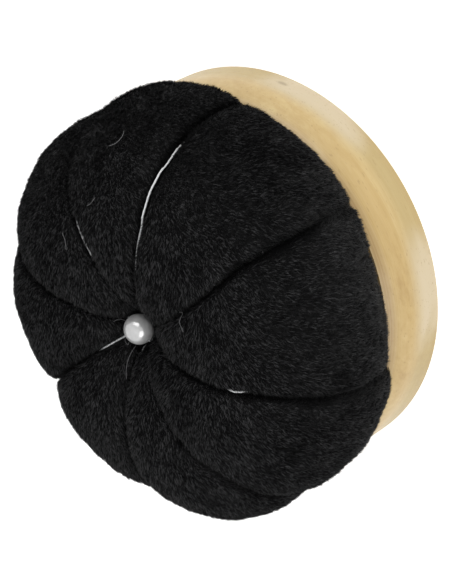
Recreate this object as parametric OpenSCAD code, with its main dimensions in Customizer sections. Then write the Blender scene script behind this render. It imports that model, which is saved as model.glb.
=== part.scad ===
// Pin cushion: a lobed plush cushion, tied into segments by one long thread, with a
// pearl bead at its centre, glued into the dished top of a turned wooden base.
// Millimetres, +Z up, origin at the centre of the base's underside.

/* [Wooden base] */
// Diameter of the base
base_d = 90; // [86:1:94]
// Height of the base at its rim
base_h = 15.5; // [14:0.1:17]
// Height of the straight part of the base's side
base_wall_h = 6.8; // [5:0.1:8]
// Radius of the rounded shoulder above the straight side
shoulder_r = 14.8; // [13:0.1:17]
// Bevel on the bottom edge
base_bevel = 0.6; // [0.2:0.1:1.5]
// Diameter of the shallow dish that the cushion sits in
dish_d = 76; // [70:1:78]
// Depth of the dish at its centre
dish_depth = 4; // [3:0.1:5]

/* [Glue] */
// Diameter of the bed of hot-melt glue in the dish
glue_d = 60; // [40:1:66]
// Thickness of the glue
glue_t = 0.8; // [0.4:0.1:1.2]

/* [Cushion] */
// Number of lobes, and of the grooves between them
lobes = 8; // [6:1:10]
// Widest diameter, across two lobes
cushion_d = 94.4; // [91:0.1:98]
// Height of the lobes' crowns above the table
crown_h = 52.6; // [50:0.1:55]
// Height at which the cushion is widest
waist_h = 27; // [25:0.5:29]
// Radius of the ring that the crowns lie on
crown_r = 20; // [17:0.5:23]
// Depth of the dimple under the bead, below the crowns
dimple_depth = 11; // [10:0.1:12]
// Depth of a groove at the waist
groove_depth = 3.6; // [2.5:0.1:4.5]
// Thickness of the plush, backing and pile together
cover_t = 1.2; // [0.8:0.1:1.5]
// How far the tied centre sits off the axis, to the right and to the back
tuft_offset = [0.9, -1.5]; // [-2:0.1:2]

/* [Threads and bead] */
// Diameter of the thread that ties the grooves
wrap_d = 0.5; // [0.4:0.05:0.6]
// Diameter of the thread that gathers the cover's mouth
gather_d = 0.6; // [0.4:0.05:0.7]
// Diameter of the clear thread that holds the bead
bead_thread_d = 0.3; // [0.2:0.05:0.4]
// Diameter of the pearl bead
bead_d = 6.5; // [5.5:0.1:6.5]
// Diameter of the hole through the bead
bead_bore_d = 1; // [0.8:0.1:1.2]
// Direction of the bead's hole, about the upright axis
bead_turn = 18; // [14:1:22]

/* [Hidden] */
$fn = 96;

// How far each groove was tied from an even spacing, in degrees
tie_drift = [-8, -7, 1, 6, 0, 0, 2, -1];

// Base: its dish is part of a large sphere
base_r = base_d / 2;
rim_r = dish_d / 2;
dish_floor_h = base_h - dish_depth;
dish_sphere_r = (rim_r * rim_r + dish_depth * dish_depth) / (2 * dish_depth);
dish_sphere_h = dish_floor_h + dish_sphere_r;

// Cushion: shape of its outline in a half-plane through the axis
gap = 0.1;
waist_r = cushion_d / 2;
hole_r = 1.7;
hole_h = crown_h - dimple_depth;
mouth_r = 3.6;
mouth_rise = 3;
dome_power = 1.85;
belly_power = 4;
// How far a lobe stands out from its grooves on top and underneath
crown_rise = 2.6;
underside_rise = 1.1;
// Roundness of a lobe between its grooves
lobe_power = 1.1;
lobe_steps = 8;
outline_steps = 7;

// Threads
wrap_lift = wrap_d / 2 + 0.2;
core_r = 1;
mouth_h = underside_h(mouth_r, 0);
core_bottom_h = mouth_h + 0.3;
core_top_h = hole_h - 1;
gather_h = mouth_h + 0.75;
knot_d = 1.7;
knot_h = mouth_h - 1.75;
bead_h = crown_h - 7;
bead_leg_r = 0.3;
thread_sides = 8;

function smooth(t) = let(u = min(max(t, 0), 1)) u * u * (3 - 2 * u);

function dish_h(r) = dish_sphere_h - sqrt(dish_sphere_r * dish_sphere_r - r * r);

// Height of the cushion's underside: it follows the dish, and is drawn up at the mouth
function underside_h(r, inset) =
    let(t = (rim_r - r) / (rim_r - mouth_r))
    dish_h(r) + glue_t + gap + mouth_rise * pow(t, 4) + underside_rise * inset * (1 - pow(t, 3));

// A point on a quarter of a superellipse, from angle 0 (at the side) to 90 (above or below)
function quarter(centre, reach, power, angle) =
    [centre.x + reach.x * pow(cos(angle), 2 / power),
     centre.y + reach.y * pow(sin(angle), 2 / power)];

// The cushion's outline as [radius, height] points: from the hole under the bead out over
// the crown, round the waist, and in under the cushion to the mouth. Inset is 0 along the
// middle of a lobe and 1 along a groove.
function outline(inset) =
    let(side_r = waist_r - groove_depth * inset,
        top_h = crown_h - crown_rise * inset,
        rim_h = underside_h(rim_r, inset),
        last = outline_steps - 1)
    concat(
        [for (i = [0 : last]) let(t = i / outline_steps)
            [hole_r + (crown_r - hole_r) * t,
             crown_h - crown_rise * inset * smooth(t) - dimple_depth * pow(1 - t, 3)]],
        [for (i = [0 : last])
            quarter([crown_r, waist_h], [side_r - crown_r, top_h - waist_h],
                    dome_power, 90 * (1 - i / outline_steps))],
        [for (i = [0 : last])
            quarter([rim_r, waist_h], [side_r - rim_r, rim_h - waist_h],
                    belly_power, 90 * i / outline_steps)],
        [for (i = [0 : last]) let(r = rim_r + (mouth_r - rim_r) * i / last)
            [r, underside_h(r, inset)]]);

// An outline moved into the cushion by a distance, or out of it if that is negative
function moved(points, distance) =
    let(last = len(points) - 1)
    [for (i = [0 : last])
        let(along = points[min(i + 1, last)] - points[max(i - 1, 0)])
        points[i] + distance * [along.y, -along.x] / norm(along)];

function reversed(list) = [for (i = [len(list) - 1 : -1 : 0]) list[i]];

// A point of an outline in space: above the waist it leans with the tied centre
function placed(angle, p) =
    let(lean = p.y > waist_h ? tuft_offset * (1 - smooth(p.x / waist_r)) : [0, 0])
    [p.x * cos(angle) + lean.x, p.x * sin(angle) + lean.y, p.y];

function groove_angle(k) = 360 / lobes * k + tie_drift[(k % lobes) % len(tie_drift)];

// Triangles of a grid of points whose rows and columns both close on themselves, or whose
// first and last rows are closed by flat caps
function grid_faces(rows, columns, capped) =
    let(last = capped ? rows - 2 : rows - 1)
    concat(
        [for (i = [0 : last], j = [0 : columns - 1])
            let(a = i * columns + j, b = i * columns + (j + 1) % columns,
                c = (a + columns) % (rows * columns), d = (b + columns) % (rows * columns))
            each [[a, b, c], [b, d, c]]],
        capped ? [reversed([for (j = [0 : columns - 1]) j]),
                  [for (j = [0 : columns - 1]) (rows - 1) * columns + j]] : []);

// A closed body of lobes round the axis, its surface moved in from the cushion's by a
// distance. With a thickness it is a shell, and without one it is solid round a small core.
module lobed_body(distance, thickness = 0) {
    columns = lobes * lobe_steps;
    points = [for (m = [0 : columns - 1])
        let(k = floor(m / lobe_steps),
            across = 180 * (m % lobe_steps) / lobe_steps,
            angle = groove_angle(k) + (groove_angle(k + 1) - groove_angle(k)) * (1 - cos(across)) / 2,
            surface = outline(1 - pow(sin(across), lobe_power)),
            back = thickness > 0 ? reversed(moved(surface, distance + thickness)) : [])
        each [for (p = concat(moved(surface, distance), back)) placed(angle, p)]];
    polyhedron(points, grid_faces(columns, len(points) / columns, false));
}

// A round thread through a list of [angle, [radius, height]] stations
module thread(stations, d) {
    last = len(stations) - 1;
    centres = [for (s = stations) placed(s[0], s[1])];
    points = [for (i = [0 : last])
        let(along = centres[min(i + 1, last)] - centres[max(i - 1, 0)],
            up = cross(along, [-sin(stations[i][0]), cos(stations[i][0]), 0]),
            side = cross(up, along))
        for (j = [0 : thread_sides - 1])
            let(turn = 360 * j / thread_sides)
            centres[i] + d / 2 * (cos(turn) * up / norm(up) + sin(turn) * side / norm(side))];
    polyhedron(points, grid_faces(last + 1, thread_sides, true));
}

// Turned beech disc: straight side, round shoulder, flat rim and a shallow dish
module wood_base() {
    color([0.82, 0.70, 0.49])
    difference() {
        rotate_extrude($fn = 180) union() {
            polygon([[0, 0], [base_r - base_bevel, 0], [base_r, base_bevel],
                     [base_r, base_wall_h], [0, base_wall_h]]);
            square([base_r - shoulder_r, base_h]);
            intersection() {
                translate([base_r - shoulder_r, base_wall_h]) circle(r = shoulder_r);
                square([base_r, base_h]);
            }
        }
        translate([0, 0, dish_sphere_h]) sphere(r = dish_sphere_r);
    }
}

// Thin bed of glue that fills the bottom of the dish
module glue_bed() {
    color([0.93, 0.90, 0.80])
    difference() {
        intersection() {
            cylinder(d = glue_d, h = base_h);
            translate([0, 0, dish_sphere_h]) sphere(r = dish_sphere_r);
        }
        translate([0, 0, dish_sphere_h + glue_t]) sphere(r = dish_sphere_r);
    }
}

// One round of plush, drawn into lobes by the thread and gathered shut underneath
module plush_cover() {
    color([0.08, 0.08, 0.09]) lobed_body(0, cover_t);
}

// Polyester stuffing that fills the cover round the core of threads
module filling() {
    color([0.95, 0.95, 0.93]) lobed_body(cover_t + gap);
}

// Running stitch that draws the cover's mouth shut
module gathering_thread() {
    color([0.10, 0.10, 0.11])
    translate([0, 0, gather_h])
    rotate_extrude() translate([mouth_r - gap, 0]) circle(d = gather_d, $fn = 24);
}

// One long thread: for every groove it rises through the core, comes out under the bead,
// lies in the groove and returns underneath, and its ends meet in a knot
module wrap_thread() {
    around = moved(outline(1), -wrap_lift);
    turn = concat([[core_r, core_bottom_h], [core_r, core_top_h]], around);
    color([0.86, 0.87, 0.88]) {
        thread([for (k = [0 : lobes - 1], p = turn) [groove_angle(k), p]], wrap_d);
        translate([0, 0, knot_h]) sphere(d = knot_d);
    }
}

// Clear thread that comes up the core, goes through the bead and back down
module bead_thread() {
    loop_r = bead_d / 2 + bead_thread_d / 2 + gap;
    leg = concat(
        [[bead_leg_r, knot_h + knot_d / 2 + gap], [bead_leg_r, core_top_h]],
        [for (angle = [-80 : 16 : 0]) [loop_r * cos(angle), bead_h + loop_r * sin(angle)]]);
    other_leg = [for (p = reversed(leg)) [-p.x, p.y]];
    color([0.90, 0.91, 0.92])
    thread([for (p = concat(leg, other_leg)) [bead_turn, p]], bead_thread_d);
}

// Pearl bead, drilled across and sewn down into the dimple
module pearl_bead() {
    color([0.90, 0.90, 0.88])
    translate([tuft_offset.x, tuft_offset.y, bead_h])
    rotate([0, 0, bead_turn])
    rotate([0, 90, 0])
    rotate_extrude()
    difference() {
        intersection() {
            circle(d = bead_d);
            translate([0, -bead_d]) square([bead_d, 2 * bead_d]);
        }
        translate([0, -bead_d]) square([bead_bore_d / 2, 2 * bead_d]);
    }
}

wood_base();
glue_bed();
plush_cover();
filling();
gathering_thread();
wrap_thread();
bead_thread();
pearl_bead();
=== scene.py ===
import math
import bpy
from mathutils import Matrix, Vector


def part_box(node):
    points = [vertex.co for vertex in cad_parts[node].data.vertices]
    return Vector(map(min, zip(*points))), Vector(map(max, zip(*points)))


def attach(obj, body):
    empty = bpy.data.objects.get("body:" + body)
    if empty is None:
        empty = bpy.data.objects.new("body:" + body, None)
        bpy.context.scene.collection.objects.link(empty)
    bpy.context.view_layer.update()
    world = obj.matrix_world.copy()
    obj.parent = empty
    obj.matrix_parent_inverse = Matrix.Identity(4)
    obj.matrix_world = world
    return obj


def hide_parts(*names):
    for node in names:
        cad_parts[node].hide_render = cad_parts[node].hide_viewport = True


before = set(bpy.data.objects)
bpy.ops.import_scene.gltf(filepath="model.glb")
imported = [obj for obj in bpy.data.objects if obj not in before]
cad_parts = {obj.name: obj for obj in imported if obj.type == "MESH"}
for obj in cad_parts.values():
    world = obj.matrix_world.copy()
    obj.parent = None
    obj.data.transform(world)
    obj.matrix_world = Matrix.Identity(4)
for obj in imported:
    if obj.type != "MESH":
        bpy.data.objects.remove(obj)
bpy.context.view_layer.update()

from types import SimpleNamespace

import bmesh
import bpy
import numpy as np
from mathutils import Matrix, Vector

# ---------------------------------------------------------------- places, from the frame

MM = 0.001
base_low, base_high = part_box("wood_base")
bead_low, bead_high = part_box("pearl_bead")
BASE_R = (base_high.x - base_low.x) / 2
RIM_H = base_high.z
CROWN_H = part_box("plush_cover")[1].z
BEAD_AT = (bead_low + bead_high) / 2
BEAD_R = (bead_high.z - bead_low.z) / 2
TUFT = np.array([BEAD_AT.x, BEAD_AT.y])

# ---------------------------------------------------------------- shape of the cushion

LOBES = 8
# Direction of each groove in degrees: 45 apart, and off that as they were tied by hand
GROOVES = (-5, 38, 91, 141, 181, 225, 272, 314)
# How far a groove swings round on its way up to the tied centre, in degrees
SWIRL = (-20, 1, -6, 0, -11, -8, -16, -7)
# How much further in than the others a groove was pulled, in millimetres
TIGHTER = (0.6, 1.3, 4.8, 0, -0.8, -1.1, -1.4, -0.8)
# How full of stuffing the lobe after each groove is
FULLNESS = (0.94, 0.94, 1.03, 1.1, 0.8, 0.39, 0.6, 0.9)
PILE_DEPTH = 0.5 * MM
GROOVE_WAIST_R = 44.6 * MM - PILE_DEPTH
WAIST_H = 27 * MM
CROWN_R = 20 * MM
GROOVE_CROWN_H = CROWN_H - 2.2 * MM - PILE_DEPTH
HOLE_R = 1.7 * MM
DIMPLE_DEPTH = 8.6 * MM
DIMPLE_POWER = 2.6
DOME_POWER = 1.87
BELLY_POWER = 3.3
RIM_R = 38 * MM
DISH_DEPTH = 4 * MM
UNDER_GAP = 1.1 * MM
MOUTH_R = 3.6 * MM
MOUTH_RISE = 3 * MM
# The cushion sits a little off the base's centre
SHIFT = np.array([0.2, -0.7]) * MM
# Height of a lobe's section over the line between its two grooves, for that line's length, and
# where: -1 is the rim, 0 the waist and 1 the centre
BULGE = (0.06, 0.17, 0.21, 0.16, 0.18, 0.19, 0.19)
BULGE_AT = (-1, -0.5, 0, 0.3, 0.6, 0.85, 1)
LOBE_POWER = 0.66
# The narrow slit that two lobes leave between them, under the line of their section
SLIT_DEPTH = 1.6 * MM
SLIT_WIDTH = 0.8 * MM
SLIT_OPEN_ROWS = 12
# One groove's slit has closed up lower down: from where, over what length, and how far
CLOSED_GROOVE = 6
CLOSES_AT = 54 * MM
CLOSES_OVER = 8 * MM
CLOSED_SHARE = 0.8
# A short pleat between two grooves, low on the near side
PLEAT_ANGLE = 258
PLEAT_AT = 65 * MM
PLEAT_DEPTH = 1.7 * MM
PLEAT_WIDTH = 0.9 * MM
PLEAT_LENGTH = 2.6 * MM
# Uneven stuffing: height and wavelength of the lumps in millimetres, and their seed
LUMPS = ((0.16, 15, 1), (0.08, 6, 2))
COVER_THICKNESS = 1.2 * MM
# The cover's inside has one row for this many of its outside
INNER_STEP = 6
STUFFING_GAP = 0.15 * MM
STUFFING_LUMPS = 0.15 * MM
# How near a groove the inward direction turns from the surface's own to the groove's
TURNS_WITHIN = 2 * MM
# The coarse grid: rows on top and underneath, columns in each lobe, and how much finer the
# final grid is
TOP_ROWS = 48
UNDER_ROWS = 8
COLUMNS = 18
FINER = 3
SPAN = COLUMNS * FINER
# The swirl starts this far up from the waist, and the lobes rise within this many rows
SWIRL_START = 0.33
RISE_ROWS = 4
# How much of the columns' spacing inside a lobe is even; the rest crowds to the grooves
EVEN_SHARE = 0.6
LINE_STEPS = 80


def smooth(t):
    t = np.clip(t, 0, 1)
    return t * t * (3 - 2 * t)


def unit(v):
    return v / np.maximum(np.linalg.norm(v, axis=-1, keepdims=True), 1e-12)


def length_along(points):
    steps = np.linalg.norm(np.diff(points, axis=0), axis=-1)
    return np.concatenate([[0], np.cumsum(steps)])


def resampled(points, count):
    along = length_along(points)
    even = np.linspace(0, along[-1], count)
    return np.stack([np.interp(even, along, points[:, i]) for i in range(points.shape[1])], -1)


def under_height(r):
    """The underside lies over the dish and is drawn up at the gathered mouth."""
    drawn = (RIM_R - r) / (RIM_R - MOUTH_R)
    return RIM_H - DISH_DEPTH * (1 - (r / RIM_R) ** 2) + UNDER_GAP + MOUTH_RISE * drawn ** 4


def groove_line():
    """A groove as (radius, height) rows: from the hole under the bead out over the crown,
    round the waist, and in underneath to the mouth."""
    t = np.linspace(0, 1, LINE_STEPS)
    quarter = math.pi / 2 * t
    dimple = np.stack([HOLE_R + (CROWN_R - HOLE_R) * t,
                       GROOVE_CROWN_H - DIMPLE_DEPTH * (1 - t) ** DIMPLE_POWER], -1)
    dome = np.stack([CROWN_R + (GROOVE_WAIST_R - CROWN_R) * np.sin(quarter) ** (2 / DOME_POWER),
                     WAIST_H + (GROOVE_CROWN_H - WAIST_H)
                     * np.cos(quarter).clip(0) ** (2 / DOME_POWER)], -1)
    rim_h = under_height(RIM_R)
    belly = np.stack([RIM_R + (GROOVE_WAIST_R - RIM_R)
                      * np.cos(quarter).clip(0) ** (2 / BELLY_POWER),
                      WAIST_H - (WAIST_H - rim_h) * np.sin(quarter) ** (2 / BELLY_POWER)], -1)
    r = np.linspace(RIM_R, MOUTH_R, LINE_STEPS)
    under = np.stack([r, under_height(r)], -1)
    top = resampled(np.concatenate([dimple, dome[1:], belly[1:]]), TOP_ROWS)
    return np.concatenate([top, resampled(under, UNDER_ROWS)[1:]])


def cushion_grid():
    """Rows from the hole to the mouth, columns round the axis. Returns the points, each
    row's distance from the centre of the flat round of plush, and each column's angle."""
    line = groove_line()
    r, h = line[:, 0], line[:, 1]
    rise = np.arctan2(h - WAIST_H, r) / (math.pi / 2)
    on_top = np.clip(rise, 0, 1)
    swing = np.clip((on_top - SWIRL_START) / (1 - SWIRL_START), 0, 1)
    lean = SHIFT * np.clip(r / RIM_R, 0, 1)[:, None]
    lean = np.where(h[:, None] > WAIST_H, SHIFT + (TUFT - SHIFT) * on_top[:, None], lean)
    tied = []
    for k in range(LOBES):
        angle = np.radians(GROOVES[k] + SWIRL[k] * swing)
        pulled = r * (1 - TIGHTER[k] * MM / GROOVE_WAIST_R * np.cos(on_top * math.pi / 2))
        tied.append(np.stack([pulled * np.cos(angle) + lean[:, 0],
                              pulled * np.sin(angle) + lean[:, 1], h], -1))
    fall = np.clip((WAIST_H - h) / (WAIST_H - under_height(RIM_R)), 0, 1)
    belly = np.arcsin(fall ** (BELLY_POWER / 2)) / (math.pi / 2)
    bulge = np.interp(on_top - belly, BULGE_AT, BULGE)
    bulge = bulge * smooth(np.arange(len(r)) / RISE_ROWS)
    even = np.arange(COLUMNS) / COLUMNS * 2 - 1
    across = EVEN_SHARE * even + (1 - EVEN_SHARE) * np.sin(math.pi / 2 * even)
    points, angles = [], []
    for k in range(LOBES):
        a, b = tied[k], tied[(k + 1) % LOBES]
        width = np.linalg.norm(b - a, axis=-1, keepdims=True)
        out = unit(np.cross(np.gradient((a + b) / 2, axis=0), b - a))
        turn = GROOVES[(k + 1) % LOBES] - GROOVES[k] + (360 if k == LOBES - 1 else 0)
        for s in across:
            high = FULLNESS[k] * (1 - s * s) ** LOBE_POWER
            points.append(a + (b - a) * (s + 1) / 2 + out * width * (bulge * high)[:, None])
            angles.append(math.radians(GROOVES[k] + turn * (s + 1) / 2))
    return np.array(points).transpose(1, 0, 2), length_along(line), np.array(angles)


def grid_mesh(name, points, ring=False):
    """A mesh of quads over rows and over columns. The columns close on themselves, and so
    do the rows of a ring."""
    rows, columns = points.shape[:2]
    i, j = np.indices((rows if ring else rows - 1, columns))
    corners = [(i, j), (i + 1, j), (i + 1, j + 1), (i, j + 1)]
    faces = np.stack([r % rows * columns + c % columns for r, c in corners], -1)
    mesh = bpy.data.meshes.new(name)
    mesh.from_pydata(points.reshape(-1, 3).tolist(), [], faces.reshape(-1, 4).tolist())
    places = np.stack([np.stack([c / columns, r / rows], -1) for r, c in corners], -2)
    add_places(mesh, places)
    mesh.update()
    return mesh


def add_places(mesh, places):
    """Flat places for a mesh's corners, for textures."""
    layer = mesh.uv_layers.new(name="OFBake")
    layer.data.foreach_set("uv", places.astype(np.float32).ravel())


def add_object(name, mesh):
    obj = bpy.data.objects.new(name, mesh)
    bpy.context.scene.collection.objects.link(obj)
    return obj


def shade_smooth(mesh):
    mesh.polygons.foreach_set("use_smooth", [True] * len(mesh.polygons))


# ---------------------------------------------------------------- inflating the lobes

SIM_FRAMES = 20
SIM_CAP = 2 * MM
# The cloth solver is meant for cloth about a metre across
SIM_SCALE = 10
CLOTH = {"quality": 5, "mass": 0.003, "tension_stiffness": 8, "compression_stiffness": 8,
         "shear_stiffness": 3, "bending_stiffness": 0.5, "vertex_group_mass": "held",
         "pin_stiffness": 1, "use_pressure": True, "uniform_pressure_force": 8}


def inflate(points):
    """Cloth under pressure, held along the threads, at the hole and underneath."""
    rows, columns = points.shape[:2]
    pad = add_object("inflating", grid_mesh("inflating", points * SIM_SCALE))
    group = pad.vertex_groups.new(name="held")
    index = np.arange(rows * columns).reshape(rows, columns)
    held = (np.arange(columns) % COLUMNS == 0)[None, :] | (np.arange(rows) < 2)[:, None]
    held = held | (np.arange(rows) >= TOP_ROWS - 2)[:, None]
    group.add(index[held].tolist(), 1.0, "REPLACE")
    cloth = pad.modifiers.new("cloth", "CLOTH")
    for key, value in CLOTH.items():
        setattr(cloth.settings, key, value)
    cloth.settings.effector_weights.gravity = 0
    cloth.collision_settings.use_self_collision = False
    scene = bpy.context.scene
    for number in range(1, SIM_FRAMES + 1):
        scene.frame_set(number)
    settled = pad.evaluated_get(bpy.context.evaluated_depsgraph_get()).to_mesh()
    moved = np.empty(rows * columns * 3, np.float32)
    settled.vertices.foreach_get("co", moved)
    scene.frame_set(1)
    bpy.data.objects.remove(pad)
    step = moved.reshape(points.shape) / SIM_SCALE - points
    size = np.linalg.norm(step, axis=-1, keepdims=True)
    return points + step * np.minimum(1, SIM_CAP / np.maximum(size, 1e-9))


# ---------------------------------------------------------------- finer grid, directions

def catmull_rom(part, factor):
    """Points on smooth curves through the rows of part, factor steps to each one."""
    ends = np.concatenate([2 * part[:1] - part[1:2], part, 2 * part[-1:] - part[-2:-1]])
    p0, p1, p2, p3 = ends[:-3], ends[1:-2], ends[2:-1], ends[3:]
    steps = []
    for t in np.arange(factor) / factor:
        steps.append(0.5 * (2 * p1 + (p2 - p0) * t + (2 * p0 - 5 * p1 + 4 * p2 - p3) * t ** 2
                            + (3 * p1 - p0 - 3 * p2 + p3) * t ** 3))
    return np.stack(steps, 1).reshape(-1, *part.shape[1:])


def finer(grid):
    """More rows, and more columns inside each lobe, so that a groove stays sharp."""
    grid = np.concatenate([catmull_rom(grid, FINER), grid[-1:]])
    columns = np.moveaxis(grid, 1, 0)
    columns = np.concatenate([columns, columns[:1]])
    parts = [catmull_rom(columns[k * COLUMNS:(k + 1) * COLUMNS + 1], FINER)
             for k in range(LOBES)]
    return np.moveaxis(np.concatenate(parts), 0, 1)


def directions(grid):
    """Unit vectors down the rows and out of the surface."""
    down = unit(np.gradient(grid, axis=0))
    around = unit(np.roll(grid, -1, 1) - np.roll(grid, 1, 1))
    return down, unit(np.cross(down, around))


# The shortest and longest wave's frequency, for the middle one's
WAVE_SPREAD = (0.7, 1.4)


def waves(points, wavelength, seed, count=14):
    """Smooth random bumps from -1 to 1 with about the given wavelength."""
    rng = np.random.default_rng(seed)
    aims = unit(rng.normal(size=(count, 3))) * rng.uniform(*WAVE_SPREAD, (count, 1))
    phases = rng.uniform(0, 2 * math.pi, count)
    turns = points @ aims.T * (2 * math.pi / wavelength) + phases
    return np.sin(turns).sum(-1) / math.sqrt(count)


# ---------------------------------------------------------------- pile

PILE_PER_MM2 = 19
PILE_LENGTH = (0.9 * MM, 1.5 * MM)
PILE_WIDTH = (0.13 * MM, 0.23 * MM)
PILE_LEAN = math.radians(60)
CLUMP = 1.3 * MM
CLUMP_WAVES = 24
ROOT_DEPTH = 0.15 * MM
# How far the nap and the lean stray in clumps and from tuft to tuft, in radians
NAP_STRAYS = 0.25
NAP_SPREAD = 0.16
LEAN_STRAYS = (0.08, 0.2)
LEAN_SPREAD = 0.1
# The nap lies one way across the flat round of plush, and is brushed round on one side
NAP = 160
BRUSHED = 80
BRUSHED_SIDE = 262
BARE_WIDTH = 1.1 * MM
# A tuft's faces by its four corners, and where those lie on the lobe's flat map, from the
# tuft's own place there; the map has a margin
TUFT_FACES = np.array([[0, 2, 1], [0, 1, 3], [1, 2, 3], [2, 0, 3]])
TUFT_PLACES = np.array([[-0.0012, 0], [0.0012, 0], [0, 0.0012], [0, -0.004]])
MAP_MARGIN = 0.01


def nap_angle(root, distance, azimuth):
    """Where the nap points, from the direction down the rows."""
    swing = smooth((distance - 0.5 * BASE_R) / (0.6 * BASE_R))
    near = 0.5 + 0.5 * np.cos(azimuth - math.radians(BRUSHED_SIDE))
    nap = np.radians(NAP + BRUSHED * swing * near) - azimuth
    strays = waves(root, 9 * MM, 5) + waves(root, CLUMP, 6, CLUMP_WAVES)
    return nap + NAP_STRAYS * strays


def pile_mesh(name, fields, row_distance, column_azimuth, bare, seed):
    """Leaning pointed tufts of pile over one lobe: fields holds its grid of points, the
    directions down and out at them, and their distance from the nearest groove. Where bare
    is 1, no tuft stands beside the groove."""
    rng = np.random.default_rng(seed)
    points, down, out, edge = fields
    corners = [points[:-1, :-1], points[1:, :-1], points[1:, 1:], points[:-1, 1:]]
    area = np.linalg.norm(np.cross(corners[2] - corners[0], corners[3] - corners[1]), axis=-1) / 2
    count = rng.poisson(area * PILE_PER_MM2 / MM ** 2).ravel()
    i, j = [np.repeat(x.ravel(), count) for x in np.indices(area.shape)]
    x, y = rng.random((2, len(i), 1))

    def at(values):
        return ((values[i, j] * (1 - x) + values[i, j + 1] * x) * (1 - y)
                + (values[i + 1, j] * (1 - x) + values[i + 1, j + 1] * x) * y)

    root, normal = at(points), unit(at(out))
    beside = at(edge[..., None])[:, 0] <= BARE_WIDTH
    kept = ~beside | (rng.random(len(i)) > at(bare[..., None])[:, 0])
    kept &= np.linalg.norm(root - np.array(BEAD_AT), axis=-1) > BEAD_R - 0.1 * MM
    root, normal, i, j, x, y = [v[kept] for v in (root, normal, i, j, x, y)]
    e_down = unit(at(down))
    e_around = unit(np.cross(normal, e_down))
    distance = row_distance[i] + np.diff(row_distance)[i] * y[:, 0]
    azimuth = column_azimuth[j] + np.diff(column_azimuth)[j] * x[:, 0]
    nap = nap_angle(root, distance, azimuth) + rng.normal(0, NAP_SPREAD, len(i))
    lean = PILE_LEAN + rng.normal(0, LEAN_SPREAD, len(i))
    lean += LEAN_STRAYS[0] * waves(root, 5 * MM, 7)
    lean += LEAN_STRAYS[1] * waves(root, CLUMP, 8, CLUMP_WAVES)
    along = e_down * np.cos(nap)[:, None] + e_around * np.sin(nap)[:, None]
    aim = normal * np.cos(lean)[:, None] + along * np.sin(lean)[:, None]
    side = unit(np.cross(aim, normal))
    back = unit(np.cross(side, aim))
    length = rng.uniform(*PILE_LENGTH, (len(i), 1))
    half = rng.uniform(*PILE_WIDTH, (len(i), 1)) / 2
    root = root - normal * ROOT_DEPTH
    verts = np.stack([root + side * half, root - side * half, root + back * half * 1.2,
                      root + aim * length], 1).reshape(-1, 3)
    faces = (np.arange(len(i))[:, None, None] * 4 + TUFT_FACES).reshape(-1, 3)
    mesh = bpy.data.meshes.new(name)
    mesh.vertices.add(len(verts))
    mesh.vertices.foreach_set("co", verts.astype(np.float32).ravel())
    mesh.loops.add(faces.size)
    mesh.loops.foreach_set("vertex_index", faces.astype(np.int32).ravel())
    mesh.polygons.add(len(faces))
    mesh.polygons.foreach_set("loop_start", np.arange(0, faces.size, 3, dtype=np.int32))
    mesh.update(calc_edges=True)
    rows, columns = area.shape
    middle = np.concatenate([(j[:, None] + x) / columns, (i[:, None] + y) / rows], -1)
    places = MAP_MARGIN + (1 - 2 * MAP_MARGIN) * middle[:, None] + TUFT_PLACES
    add_places(mesh, places[:, TUFT_FACES])
    shade_smooth(mesh)
    return mesh


# ---------------------------------------------------------------- threads and bead

THREAD_R = 0.25 * MM
THREAD_PITCH = 1.3 * MM
THREAD_STEP = 0.45 * MM
CORE_R = 1 * MM
CORE_STEPS = 12
# The thread turns out of the core this far under the hole, and its tail is this long
TURN_H = 1 * MM
TAIL = 1 * MM
# How deep the thread is pulled into the plush where it is hidden, and how far it stands
# out of the groove where it shows
SUNK = 0.25 * MM
SUNK_AT_CENTRE = 0.8 * MM
PROUD = 0.1 * MM
MOUTH_H = under_height(MOUTH_R)
KNOT_R = 0.55 * MM
KNOT_TURNS = 3
KNOT_STEPS = 40
KNOT_DROP = 1.9 * MM
GATHER_R = 0.3 * MM
STITCHES = 12
STITCH_STEPS = 20
STITCH_RISE = 0.35 * MM
# Where the thread shows in a groove: the groove, from and to in millimetres from the centre
# along it, and how high the thread stands there. It rises and sinks over SHOW_RAMP.
SHOW_RAMP = 5 * MM
SHOWS = ((7, 29, 43, 1.0), (7, 13, 49, 0.66), (2, 3.5, 14, 1.0), (5, 28.5, 32, 0.85),
         (0, 19, 31, 1.0), (3, 4, 9, 0.8))


def shows(k, distance):
    """How far the thread comes up in groove k, from 0 to 1."""
    height = np.zeros_like(distance)
    for groove, start, stop, most in SHOWS:
        if groove == k:
            window = smooth((distance - start * MM) / SHOW_RAMP + 0.5)
            window = window * smooth((stop * MM - distance) / SHOW_RAMP + 0.5)
            height = np.maximum(height, most * window)
    return height


def tube(path, radius, sides=8, ring=False, ply=0.0):
    """Grid of rows round the sides of a tube along path, its section twisting with ply."""
    along = np.roll(path, -1, 0) - np.roll(path, 1, 0) if ring else np.gradient(path, axis=0)
    along = unit(along)
    up = np.empty_like(path)
    up[0] = unit(np.cross(along[0], (0.31, 0.9, 0.3)))
    for n in range(1, len(path)):
        up[n] = unit(up[n - 1] - along[n] * (up[n - 1] @ along[n]))
    side = np.cross(along, up)
    turn = np.arange(sides) / sides * 2 * math.pi
    travel = length_along(path)[:, None]
    size = radius * (1 - ply + ply * np.cos(2 * (turn - travel / THREAD_PITCH * math.pi)))
    return (path[:, None] + size[..., None] * (np.cos(turn)[:, None] * up[:, None]
                                               + np.sin(turn)[:, None] * side[:, None]))


def tube_mesh(name, path, radius, sides=8, ring=False, ply=0.0):
    grid = tube(path, radius, sides, ring, ply)
    if not ring:
        grid = np.concatenate([np.repeat(path[:1, None], sides, 1), grid,
                               np.repeat(path[-1:, None], sides, 1)])
    mesh = grid_mesh(name, grid, ring)
    weld(mesh)
    shade_smooth(mesh)
    return mesh


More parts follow.
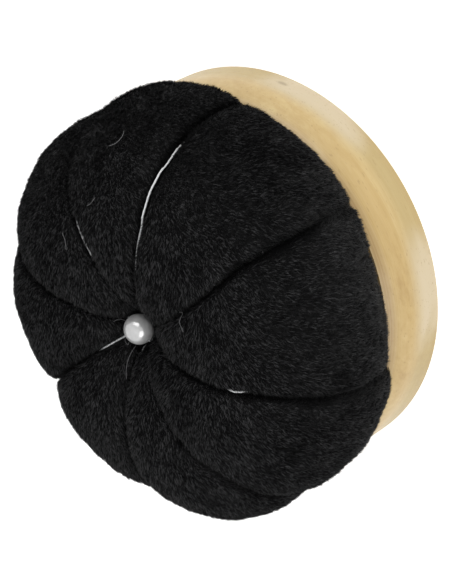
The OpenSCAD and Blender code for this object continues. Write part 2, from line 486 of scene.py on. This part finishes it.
def weld(mesh, distance=1e-7):
    """Joins vertices that lie on each other and drops the empty faces between them."""
    bm = bmesh.new()
    bm.from_mesh(mesh)
    bmesh.ops.remove_doubles(bm, verts=bm.verts, dist=distance)
    bm.to_mesh(mesh)
    bm.free()


def joined(parts):
    """One path through all the parts, evenly stepped and without corners."""
    path = np.concatenate(parts)
    path = resampled(path, int(length_along(path)[-1] / THREAD_STEP))
    for _ in range(2):
        path[1:-1] = (path[:-2] + 2 * path[1:-1] + path[2:]) / 4
    return path


def wrap_path(surface, up, distance):
    """The thread's whole way, from its knot and back to it: for every groove in turn it
    rises through the core, comes out under the bead, lies in the groove and returns
    underneath."""
    knot_h = MOUTH_H - KNOT_DROP
    turn = np.linspace(0, KNOT_TURNS * 2 * math.pi, KNOT_STEPS)
    spiral = np.stack([KNOT_R * np.cos(turn), KNOT_R * np.sin(turn),
                       knot_h + np.linspace(-KNOT_R, KNOT_R, KNOT_STEPS)], -1)
    parts = [spiral]
    steps = np.linspace(0, 1, CORE_STEPS)
    for k in range(LOBES):
        shown = shows(k, distance)
        lift = -SLIT_DEPTH - SUNK + (SLIT_DEPTH + SUNK + PROUD) * shown
        lift -= SUNK_AT_CENTRE * smooth(1 - distance / CROWN_R) * (1 - shown)
        line = surface[:, k * SPAN] + up[:, k * SPAN] * lift[:, None]
        angle = math.radians(GROOVES[k])
        core = np.stack([CORE_R * math.cos(angle) + TUFT[0] * steps,
                         CORE_R * math.sin(angle) + TUFT[1] * steps,
                         MOUTH_H + (line[0, 2] - TURN_H - MOUTH_H) * steps], -1)
        parts += [core, line]
    end = [(-CORE_R, 0, MOUTH_H), (-KNOT_R, 0, knot_h), (KNOT_R, -TAIL, knot_h)]
    return joined(parts + [np.array(end)])


# Stray fibres on the plush: where each starts and ends, as millimetres from the centre and
# degrees round it, and how far it bends aside
STRAY = ((6.3, 86, 8.3, 118, 0.6), (6.3, 50, 9.2, 46, 0.8), (7.5, 84, 7.9, 116, -0.6),
         (7, 130, 13.5, 138, 0.4), (22, 274, 23, 260, 0.5), (45.5, 273, 43, 272, 0.9),
         (33, 340, 34.5, 335, 0.5), (47, 330, 44, 333, -0.6), (26, 3, 29, 1, 0.4))
STRAY_R = 0.04 * MM
STRAY_LIFT = 0.75 * MM
STRAY_STEPS = 14


def stray_mesh(surface, out, distance, azimuth):
    """Thin bent fibres lying on the pile."""
    tubes = bmesh.new()
    t = np.linspace(0, 1, STRAY_STEPS)
    for start, angle, stop, last, bend in STRAY:
        row = (start + (stop - start) * t) * MM
        row = np.interp(row, distance, np.arange(len(distance)))
        way = np.radians(angle + (last - angle) * t)
        way = (way - azimuth[0]) % (2 * math.pi) + azimuth[0]
        column = np.interp(way, azimuth, np.arange(len(azimuth)))
        at = row.astype(int), column.astype(int) % surface.shape[1]
        path = surface[at] + out[at] * STRAY_LIFT
        for _ in range(3):
            path[1:-1] = (path[:-2] + path[1:-1] + path[2:]) / 3
        aside = unit(np.cross(path[-1] - path[0], out[at][STRAY_STEPS // 2]))
        path = path + aside * (bend * MM * np.sin(math.pi * t))[:, None]
        tubes.from_mesh(tube_mesh("stray", path, STRAY_R, sides=6))
    mesh = bpy.data.meshes.new("stray_fibres")
    tubes.to_mesh(mesh)
    tubes.free()
    return mesh


def stitch_mesh():
    """Running stitch round the mouth: it dives through the cover and out again."""
    low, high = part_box("gathering_thread")
    middle = (low + high) / 2
    steps = STITCHES * STITCH_STEPS
    turn = np.arange(steps) / steps * 2 * math.pi
    radius = (high.x - low.x) / 2 - GATHER_R + STITCH_RISE * np.sin(STITCHES * turn)
    path = np.stack([radius * np.cos(turn), radius * np.sin(turn),
                     middle.z + STITCH_RISE * np.cos(STITCHES * turn)], -1)
    return tube_mesh("gathering_stitches", path, GATHER_R, ring=True, ply=0.12)


# The bead's cross hole, the rounding of its lips and which way it points
BORE_R = 0.5 * MM
LIP = 0.16 * MM
BEAD_TURN = 18
BEAD_SIDES = 72
BEAD_STEPS = 56
LIP_STEPS = 7
BORE_STEPS = 12


def bead_mesh():
    """A drilled pearl: its outline in the half-plane of the hole, turned about the hole."""
    reach = math.sqrt(BEAD_R ** 2 - (BORE_R + LIP) ** 2)
    first = math.atan2(BORE_R + LIP, reach)
    polar = np.linspace(first, math.pi - first, BEAD_STEPS)
    ball = BEAD_R * np.stack([np.cos(polar), np.sin(polar)], -1)
    bend = np.linspace(0, math.pi / 2, LIP_STEPS)[1:]
    left = np.stack([-reach + LIP / 2 * (1 - np.cos(bend)), BORE_R + LIP * (1 - np.sin(bend))], -1)
    along = np.linspace(-reach + LIP, reach - LIP, BORE_STEPS)
    inside = np.stack([along, np.full(BORE_STEPS, BORE_R)], -1)
    right = left[::-1] * (-1, 1)
    line = np.concatenate([ball, left, inside, right])
    turn = np.arange(BEAD_SIDES) / BEAD_SIDES * 2 * math.pi
    grid = np.stack([np.repeat(line[:, :1], BEAD_SIDES, 1), line[:, 1:] * np.cos(turn),
                     line[:, 1:] * np.sin(turn)], -1)
    spin = Matrix.Rotation(math.radians(BEAD_TURN), 3, "Z")
    grid = grid @ np.array(spin).T + np.array(BEAD_AT)
    mesh = grid_mesh("pearl", grid, ring=True)
    shade_smooth(mesh)
    return mesh


# ---------------------------------------------------------------- materials

class Shader:
    """A Principled material, built node by node. Its inputs are keywords, with _ for a space."""

    def __init__(self, name, **values):
        self.material = bpy.data.materials.new(name)
        self.material.use_nodes = True
        self.tree = self.material.node_tree
        self.surface = self.tree.nodes["Principled BSDF"]
        for key, value in values.items():
            self.surface.inputs[key.replace("_", " ")].default_value = value

    def node(self, kind, inputs=(), **settings):
        made = self.tree.nodes.new("ShaderNode" + kind)
        for key, value in settings.items():
            setattr(made, key, value)
        for key, value in dict(inputs).items():
            if isinstance(value, bpy.types.NodeSocket):
                self.tree.links.new(value, made.inputs[key])
            else:
                made.inputs[key].default_value = value
        return made

    def feed(self, key, socket):
        self.tree.links.new(socket, self.surface.inputs[key])

    def math(self, operation, a, b=0.0, c=0.0):
        return self.node("Math", {0: a, 1: b, 2: c}, operation=operation).outputs[0]

    def step(self, value, start, stop):
        """0 at start and before it, 1 at stop and beyond it, and smooth between them."""
        made = self.node("MapRange", {"Value": value, "From Min": start, "From Max": stop},
                         interpolation_type="SMOOTHSTEP")
        return made.outputs["Result"]

    def mix(self, amount, a, b):
        """From a to b, which is a fixed colour. A Mix node's colours are inputs 6 and 7 and
        output 2."""
        made = self.node("Mix", {"Factor": amount, 6: a, 7: (*b, 1)}, data_type="RGBA")
        return made.outputs[2]

    def ramp(self, value, *stops):
        made = self.node("ValToRGB", {0: value})
        elements = made.color_ramp.elements
        while len(elements) < len(stops):
            elements.new(0.5)
        for element, (place, colour) in zip(elements, stops):
            element.position = place
            element.color = (*colour, 1)
        return made.outputs[0]

    def place(self, scale=(1, 1, 1)):
        place = self.node("TexCoord").outputs["Object"]
        return self.node("Mapping", {"Vector": place, "Scale": scale}).outputs[0]

    def noise(self, vector, scale=1.0, detail=2.0, roughness=0.5):
        made = self.node("TexNoise", {"Vector": vector, "Scale": scale, "Detail": detail,
                                      "Roughness": roughness})
        return made.outputs["Fac"]

    def bump(self, height, strength, distance):
        made = self.node("Bump", {"Height": height, "Strength": strength, "Distance": distance})
        self.feed("Normal", made.outputs[0])


# How much of a lobe's width at each side is darker, down in the groove, and by how much: painted
# shade, as the pile down there gets less light
CREASE = 0.1
CREASE_SHADE = 0.34
# The crowns are a little lighter, painted light from above, from this far below the highest point
CROWN_DEPTH = 14 * MM
CROWN_PAINTED_LIGHT = 0.09


def plush_material(name, dark, light, lightest, painted_crease_shade=False):
    """Black plush, each tuft its own shade between dark and lightest, with painted light on the
    crowns and, where asked, painted shade in the creases.
    """
    m = Shader(name, Roughness=0.5, Specular_IOR_Level=0.06, Sheen_Weight=0.03,
               Sheen_Roughness=0.35)
    tuft = m.node("NewGeometry").outputs["Random Per Island"]
    broad = m.noise(m.place(), 300, 3)
    shade = m.math("MULTIPLY_ADD", tuft, 0.75, m.math("MULTIPLY_ADD", broad, 0.3, -0.05))
    height = m.node("SeparateXYZ", {0: m.place()}).outputs[2]
    # Painted light: tufts high on the crowns are lighter
    crown = m.step(height, CROWN_H - CROWN_DEPTH, CROWN_H - 2 * MM)
    shade = m.math("MULTIPLY_ADD", crown, CROWN_PAINTED_LIGHT, shade)
    # Painted shade: tufts near either side of a lobe's map, down in its grooves, are darker
    if painted_crease_shade:
        across = m.node("UVMap", uv_map="OFBake").outputs[0]
        across = m.node("SeparateXYZ", {0: across}).outputs[0]
        edge = m.math("MINIMUM", across, m.math("SUBTRACT", 1.0, across))
        clear = m.math("MULTIPLY_ADD", m.step(edge, 0.0, CREASE), CREASE_SHADE, -CREASE_SHADE)
        shade = m.math("ADD", shade, clear)
    m.feed("Base Color", m.ramp(shade, (0.3, dark), (0.65, light), (0.9, lightest)))
    return m.material


# How much brighter than its own colour the wood looks in the scene's light
WOOD_LIGHT = 1.4
# The colours of the wall turn into those of the top about this high
WALL_H = 6.8 * MM
# Scale of the noises along x, y and z: the grain lies along x
GRAIN = (45, 800, 800)
PORES = (500, 2600, 2600)
BROAD = (16, 70, 110)
TOOL_MARKS = 3400
# Middle of the small knot on the wall, and how much flatter than wide it is
KNOT_AT = (0.0313, -0.0324, 0.0037)
KNOT_FLATTER = 1.9
# The middles of the wall's two pale patches, painted reflections of the lights in the lacquer, how
# far each reaches round from there, and how far it is fully pale, in degrees
REFLECTION_SIDES = (303, 240)
REFLECTION_REACH = 20
REFLECTION_FULL = 5


def wood_colour(red, green, blue):
    """Linear colour of wood that looks like an 8-bit sRGB one in the scene's light."""
    channels = [c / 255 for c in (red, green, blue)]
    channels = [c / 12.92 if c <= 0.04045 else ((c + 0.055) / 1.055) ** 2.4 for c in channels]
    return tuple(c / WOOD_LIGHT for c in channels)


def painted_reflections(m, colour, axes, radius, wall, broad):
    """Two paler patches low on the wall, where the photo shows them: painted reflections of the
    lights in the lacquer.
    """
    blotch = m.math("MULTIPLY_ADD", broad, 0.10, -0.05)
    reach, full = [math.cos(math.radians(a)) for a in (REFLECTION_REACH, REFLECTION_FULL)]
    for side in REFLECTION_SIDES:
        a = math.radians(side)
        facing = m.math("MULTIPLY", axes[1], math.sin(a))
        facing = m.math("MULTIPLY_ADD", axes[0], math.cos(a), facing)
        facing = m.math("ADD", m.math("DIVIDE", facing, radius), blotch)
        painted_reflection = m.math("MULTIPLY", m.step(facing, reach, full), wall)
        # Painted reflection: the lights' paler colour, as seen in the lacquer
        colour = m.mix(m.math("MULTIPLY", painted_reflection, 0.9), colour, wood_colour(214, 197, 165))
    return colour


def small_knot(m, colour, grain):
    stretch = (1, 1, KNOT_FLATTER)
    middle = tuple(c * k for c, k in zip(KNOT_AT, stretch))
    away = m.node("VectorMath", {0: m.place(stretch), 1: middle}, operation="DISTANCE")
    away = m.math("MULTIPLY_ADD", grain, 0.8 * MM, away.outputs["Value"])
    knot = m.math("MULTIPLY", m.step(away, 2.3 * MM, 0.8 * MM), 0.5)
    return m.mix(knot, colour, wood_colour(132, 112, 76))


def wood_material():
    """Pale close-grained wood, turned and lacquered: grain along x, rings of tool marks, two
    paler patches on the wall that are painted reflections of the lights, one small knot, and
    painted shade next to the cushion."""
    m = Shader("wood", Coat_Roughness=0.14)
    axes = m.node("SeparateXYZ", {0: m.place()}).outputs
    radius = m.math("SQRT", m.math("ADD", m.math("MULTIPLY", axes[0], axes[0]),
                                   m.math("MULTIPLY", axes[1], axes[1])))
    grain = m.noise(m.place(GRAIN), 1, 3, 0.6)
    pores = m.noise(m.place(PORES), 1, 1)
    broad = m.noise(m.place(BROAD), 1, 3, 0.6)
    turned = m.node("CombineXYZ", {0: m.math("MULTIPLY", radius, TOOL_MARKS),
                                   1: m.math("MULTIPLY", axes[2], TOOL_MARKS)}).outputs[0]
    rings = m.noise(turned, 1, 2)
    tone = m.math("MULTIPLY_ADD", grain, 0.4, m.math("MULTIPLY", broad, 0.6))
    colour = m.ramp(tone, (0.34, wood_colour(180, 145, 78)), (0.46, wood_colour(195, 163, 97)),
                    (0.54, wood_colour(200, 169, 105)), (0.68, wood_colour(212, 185, 124)))
    wall = m.step(m.math("MULTIPLY_ADD", broad, 3 * MM, axes[2]), WALL_H + 4.5 * MM,
                  WALL_H - 0.5 * MM)
    colour = m.mix(m.math("MULTIPLY", wall, 0.65), colour, wood_colour(184, 163, 108))
    m.feed("Coat Weight", m.math("MULTIPLY_ADD", wall, -0.32, 0.4))
    colour = painted_reflections(m, colour, axes, radius, wall, broad)
    # Painted shade: darker brown just under the rim, beside the cushion
    edge = m.math("MULTIPLY", m.step(axes[2], RIM_H - 3 * MM, RIM_H - 0.5 * MM), 0.6)
    colour = m.mix(edge, colour, wood_colour(158, 124, 74))
    marks = m.math("MULTIPLY", m.step(rings, 0.42, 0.66), m.math("MULTIPLY_ADD", edge, 0.35, 0.12))
    colour = m.mix(marks, colour, wood_colour(226, 203, 158))
    flecks = m.math("MULTIPLY", m.step(pores, 0.66, 0.74), 0.4)
    colour = m.mix(flecks, colour, wood_colour(150, 118, 70))
    m.feed("Base Color", small_knot(m, colour, grain))
    m.feed("Roughness", m.step(rings, -0.5, 1.7))
    m.bump(m.math("MULTIPLY_ADD", rings, 0.7, m.math("MULTIPLY", grain, 0.3)), 0.3, 0.06 * MM)
    return m.material


def thread_material(name, colour, roughness):
    m = Shader(name, Roughness=roughness, Specular_IOR_Level=0.7)
    fibre = m.noise(m.place(), 5200, 2)
    m.feed("Base Color", m.ramp(fibre, (0.3, tuple(c * 0.7 for c in colour)), (0.6, colour)))
    m.bump(fibre, 0.4, 0.05 * MM)
    return m.material


def pearl_material():
    m = Shader("pearl", Roughness=0.35, Subsurface_Weight=0.5, Subsurface_Scale=1,
               Subsurface_Radius=(2 * MM, 2 * MM, 2 * MM), Coat_Weight=1, Coat_Roughness=0.17,
               Coat_IOR=3.0)
    swirl = m.noise(m.place((300, 300, 900)), 1, 2)
    m.feed("Base Color", m.ramp(swirl, (0.3, (0.38, 0.38, 0.38)), (0.7, (0.52, 0.52, 0.52))))
    return m.material


def glue_material():
    m = Shader("glue", Roughness=0.3, Subsurface_Weight=0.2,
               Subsurface_Radius=(2 * MM, 1.5 * MM, 1 * MM))
    cloud = m.noise(m.place(), 260, 3)
    m.feed("Base Color", m.ramp(cloud, (0.3, (0.62, 0.54, 0.38)), (0.7, (0.76, 0.70, 0.55))))
    m.bump(cloud, 0.3, 0.3 * MM)
    return m.material


def clear_material():
    m = Shader("clear_thread", Roughness=0.15, IOR=1.5, Transmission_Weight=0.7)
    cloud = m.noise(m.place(), 1500, 2)
    m.feed("Base Color", m.ramp(cloud, (0.3, (0.75, 0.77, 0.80)), (0.7, (0.90, 0.91, 0.93))))
    return m.material


def stuffing_material():
    m = Shader("stuffing", Roughness=0.9)
    wool = m.noise(m.place(), 900, 4, 0.7)
    m.feed("Base Color", m.ramp(wool, (0.3, (0.55, 0.55, 0.53)), (0.7, (0.86, 0.86, 0.84))))
    m.bump(wool, 0.6, 0.4 * MM)
    return m.material


def floor_material():
    return Shader("floor", Roughness=0.9, Base_Color=FLOOR_SHADE, Emission_Color=(1, 1, 1, 1),
                  Emission_Strength=FLOOR_GLOW).material


# ---------------------------------------------------------------- camera, floor and lights

ELEVATION = math.radians(44.13)
ROLL = math.radians(-119.42)
DISTANCE = 10 * BASE_R
LENS = 128.4
# How far the camera aims to the right of and above the point half a base radius up the axis,
# in base radii
AIM = (0.0909, 0.0189)
# Light from all round, the least and the most, and where the most comes from
WORLD_LIGHT = (0.72, 0.92)
BRIGHT_SIDE = (0, -0.45, 0.9)
SOFTBOXES = {"softbox_right": (0.724, -0.615, 0.315), "softbox_left": (-0.729, -0.534, 0.419)}
SOFTBOX_DISTANCE = 0.6
SOFTBOX_SIZE = 0.5
SOFTBOX_POWER = 1.5
FLOOR_SHADE = (0.75, 0.75, 0.75, 1)
FLOOR_GLOW = 0.6
FLOOR_REACH = 3


def camera_axes():
    right = Vector((1, 0, 0))
    back = Vector((0, -math.cos(ELEVATION), math.sin(ELEVATION)))
    up = back.cross(right)
    across = right * math.cos(ROLL) + up * math.sin(ROLL)
    upward = up * math.cos(ROLL) - right * math.sin(ROLL)
    return across, upward, back


def make_camera():
    across, upward, back = camera_axes()
    data = bpy.data.cameras.new("camera")
    data.sensor_width = 36
    data.lens = LENS
    data.clip_start = 0.01
    camera = add_object("camera", data)
    target = Vector((0, 0, BASE_R / 2)) + (AIM[0] * across + AIM[1] * upward) * BASE_R
    turn = Matrix((across, upward, back)).transposed().to_4x4()
    camera.matrix_world = Matrix.Translation(target + back * DISTANCE) @ turn
    bpy.context.scene.camera = camera


def make_floor():
    x = FLOOR_REACH
    mesh = bpy.data.meshes.new("floor")
    mesh.from_pydata([(-x, -x, 0), (x, -x, 0), (x, x, 0), (-x, x, 0)], [], [(0, 1, 2, 3)])
    floor = add_object("floor", mesh)
    floor.data.materials.append(floor_material())


def make_light(name, direction):
    """A square softbox in a direction from the cushion."""
    aim = Vector(direction).normalized()
    data = bpy.data.lights.new(name, "AREA")
    data.size = SOFTBOX_SIZE
    data.energy = SOFTBOX_POWER
    light = add_object(name, data)
    light.location = Vector((0, 0, BASE_R / 2)) + aim * SOFTBOX_DISTANCE
    light.rotation_euler = aim.to_track_quat("Z", "Y").to_euler()


def make_world():
    """White light from all round, a little stronger from one side."""
    world = bpy.data.worlds.new("world")
    world.use_nodes = True
    tree = world.node_tree
    facing = tree.nodes.new("ShaderNodeVectorMath")
    facing.operation = "DOT_PRODUCT"
    tree.links.new(tree.nodes.new("ShaderNodeTexCoord").outputs["Generated"], facing.inputs[0])
    facing.inputs[1].default_value = Vector(BRIGHT_SIDE).normalized()
    strength = tree.nodes.new("ShaderNodeMapRange")
    tree.links.new(facing.outputs["Value"], strength.inputs["Value"])
    strength.inputs["From Min"].default_value = -1
    strength.inputs["To Min"].default_value = WORLD_LIGHT[0]
    strength.inputs["To Max"].default_value = WORLD_LIGHT[1]
    background = tree.nodes["Background"]
    background.inputs["Color"].default_value = (1, 1, 1, 1)
    tree.links.new(strength.outputs["Result"], background.inputs["Strength"])
    bpy.context.scene.world = world


# ---------------------------------------------------------------- the pieces

def piece(name, mesh, material, slot, *nodes):
    """A new object of the part, which stands for the given CAD nodes."""
    made = add_object(name, mesh)
    made.data.materials.append(material)
    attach(made, "root")
    if nodes:
        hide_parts(*nodes)
    return made


def refined_rows(values):
    return np.concatenate([catmull_rom(values[:, None], FINER)[:, 0], values[-1:]])


def groove_distance(grid):
    """Distance of each point from the nearest groove, along its row."""
    step = np.linalg.norm(np.roll(grid, -1, 1) - grid, axis=-1).reshape(len(grid), LOBES, SPAN)
    before = np.concatenate([np.zeros_like(step[..., :1]), np.cumsum(step, -1)[..., :-1]], -1)
    after = step.sum(-1, keepdims=True) - before
    return np.minimum(before, after).reshape(len(grid), -1)


def nearest_groove():
    """The groove nearest to each column."""
    return (np.arange(LOBES * SPAN) + SPAN // 2) // SPAN % LOBES


def groove_up(out):
    """Which way is up out of the nearest groove: between the normals of its two lobes."""
    crests = out[:, SPAN // 2::SPAN]
    ups = unit(crests + np.roll(crests, 1, 1))
    return ups[:, nearest_groove()]


def lumps(grid, distance, azimuth):
    """How far the uneven stuffing lifts each point, and the pleat draws it in."""
    aside = (azimuth - math.radians(PLEAT_ANGLE)) * BASE_R
    beyond = distance[:, None] - PLEAT_AT
    lift = -PLEAT_DEPTH * np.exp(-(aside / PLEAT_WIDTH) ** 2 - (beyond / PLEAT_LENGTH) ** 2)
    for height, wavelength, seed in LUMPS:
        lift = lift + height * MM * waves(grid, wavelength * MM, seed)
    return lift


def slits(distance, edge):
    """How deep the slit between two lobes is at each point."""
    opened = smooth(np.arange(len(edge)) / SLIT_OPEN_ROWS)[:, None]
    closed = smooth((distance - CLOSES_AT) / CLOSES_OVER)[:, None]
    closed = closed * (nearest_groove() == CLOSED_GROOVE)
    return SLIT_DEPTH * np.exp(-(edge / SLIT_WIDTH) ** 2) * opened * (1 - CLOSED_SHARE * closed)


def cushion_surface():
    """The cushion's fine grid of points, plain and with its slits, and at each point the
    directions down the row, out of the surface, up out of the nearest groove and between the
    last two, and the distance from that groove. Also each row's distance from the centre and
    each column's azimuth."""
    coarse, row_distance, angles = cushion_grid()
    coarse = inflate(coarse)
    grid = finer(coarse)
    made = SimpleNamespace(distance=refined_rows(row_distance + HOLE_R), edge=groove_distance(grid))
    angles = np.append(angles, angles[0] + 2 * math.pi)
    made.azimuth = np.interp(np.arange(LOBES * SPAN + 1) / FINER, np.arange(len(angles)), angles)
    out = directions(grid)[1]
    made.plain = grid + out * lumps(grid, made.distance, made.azimuth[:-1])[..., None]
    made.up = groove_up(out)
    made.points = made.plain - made.up * slits(made.distance, made.edge)[..., None]
    made.down, made.out = directions(made.points)
    clear = smooth(made.edge / TURNS_WITHIN)[..., None]
    made.away = unit(made.out * clear + made.up * (1 - clear))
    return made


def add_cover(cushion):
    inner = (cushion.points - cushion.away * COVER_THICKNESS)[::-INNER_STEP]
    mesh = grid_mesh("cushion_cover", np.concatenate([cushion.points, inner]), ring=True)
    shade_smooth(mesh)
    backing = plush_material("plush_backing", (0.002, 0.002, 0.0022), (0.004, 0.004, 0.0043),
                             (0.006, 0.006, 0.0064))
    piece("cushion_cover", mesh, backing, "plush", "plush_cover")


def add_stuffing(cushion):
    uneven = STUFFING_LUMPS * (1 + waves(cushion.points, 7 * MM, 3))
    depth = COVER_THICKNESS + STUFFING_GAP + uneven
    points = (cushion.points - cushion.away * depth[..., None])[::FINER, ::FINER]
    mesh = grid_mesh("stuffing", points, ring=True)
    shade_smooth(mesh)
    piece("stuffing", mesh, stuffing_material(), "stuffing", "filling")


def add_pile(cushion):
    """One piece of pile for each lobe, down to where the cushion meets the base."""
    pile = plush_material("plush_pile", (0.0006, 0.0006, 0.0007), (0.0022, 0.0022, 0.0024),
                          (0.068, 0.068, 0.07), painted_crease_shade=True)
    rows = slice(0, (TOP_ROWS - 2) * FINER)
    distance = cushion.distance[rows]
    for k in range(LOBES):
        lobe = np.arange(k * SPAN, (k + 1) * SPAN + 1)
        wrap = lobe % (LOBES * SPAN)
        fields = [field[rows, wrap] for field in (cushion.points, cushion.down, cushion.out,
                                                  cushion.edge)]
        bare = np.where(np.arange(SPAN + 1) < SPAN / 2, shows(k, distance)[:, None],
                        shows((k + 1) % LOBES, distance)[:, None])
        mesh = pile_mesh(f"pile_{k + 1}", fields, distance, cushion.azimuth[lobe], bare, 100 + k)
        piece(f"pile_{k + 1}", mesh, pile, "plush")


def add_threads(cushion):
    """The thread in the grooves, the stray fibres and the gathering stitch."""
    shiny = thread_material("shiny_thread", (0.78, 0.79, 0.80), 0.3)
    path = wrap_path(cushion.plain, cushion.up, cushion.distance)
    mesh = tube_mesh("wrap_thread_twisted", path, THREAD_R, ply=0.14)
    piece("wrap_thread_twisted", mesh, shiny, "shiny_thread", "wrap_thread")
    fibre = thread_material("stray_fibre", (0.15, 0.15, 0.155), 0.4)
    mesh = stray_mesh(cushion.points, cushion.up, cushion.distance, cushion.azimuth)
    piece("stray_fibres", mesh, fibre, "stuffing")
    dark = thread_material("dark_thread", (0.02, 0.02, 0.022), 0.5)
    piece("gathering_stitches", stitch_mesh(), dark, "dark_thread", "gathering_thread")


bpy.context.scene.view_settings.view_transform = "Standard"
make_camera()
make_floor()
make_world()
for name, direction in SOFTBOXES.items():
    make_light(name, direction)
surface = cushion_surface()
add_cover(surface)
add_stuffing(surface)
add_pile(surface)
add_threads(surface)
piece("pearl", bead_mesh(), pearl_material(), "pearl", "pearl_bead")
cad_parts["wood_base"].material_slots[0].material = wood_material()
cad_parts["glue_bed"].material_slots[0].material = glue_material()
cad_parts["bead_thread"].material_slots[0].material = clear_material()
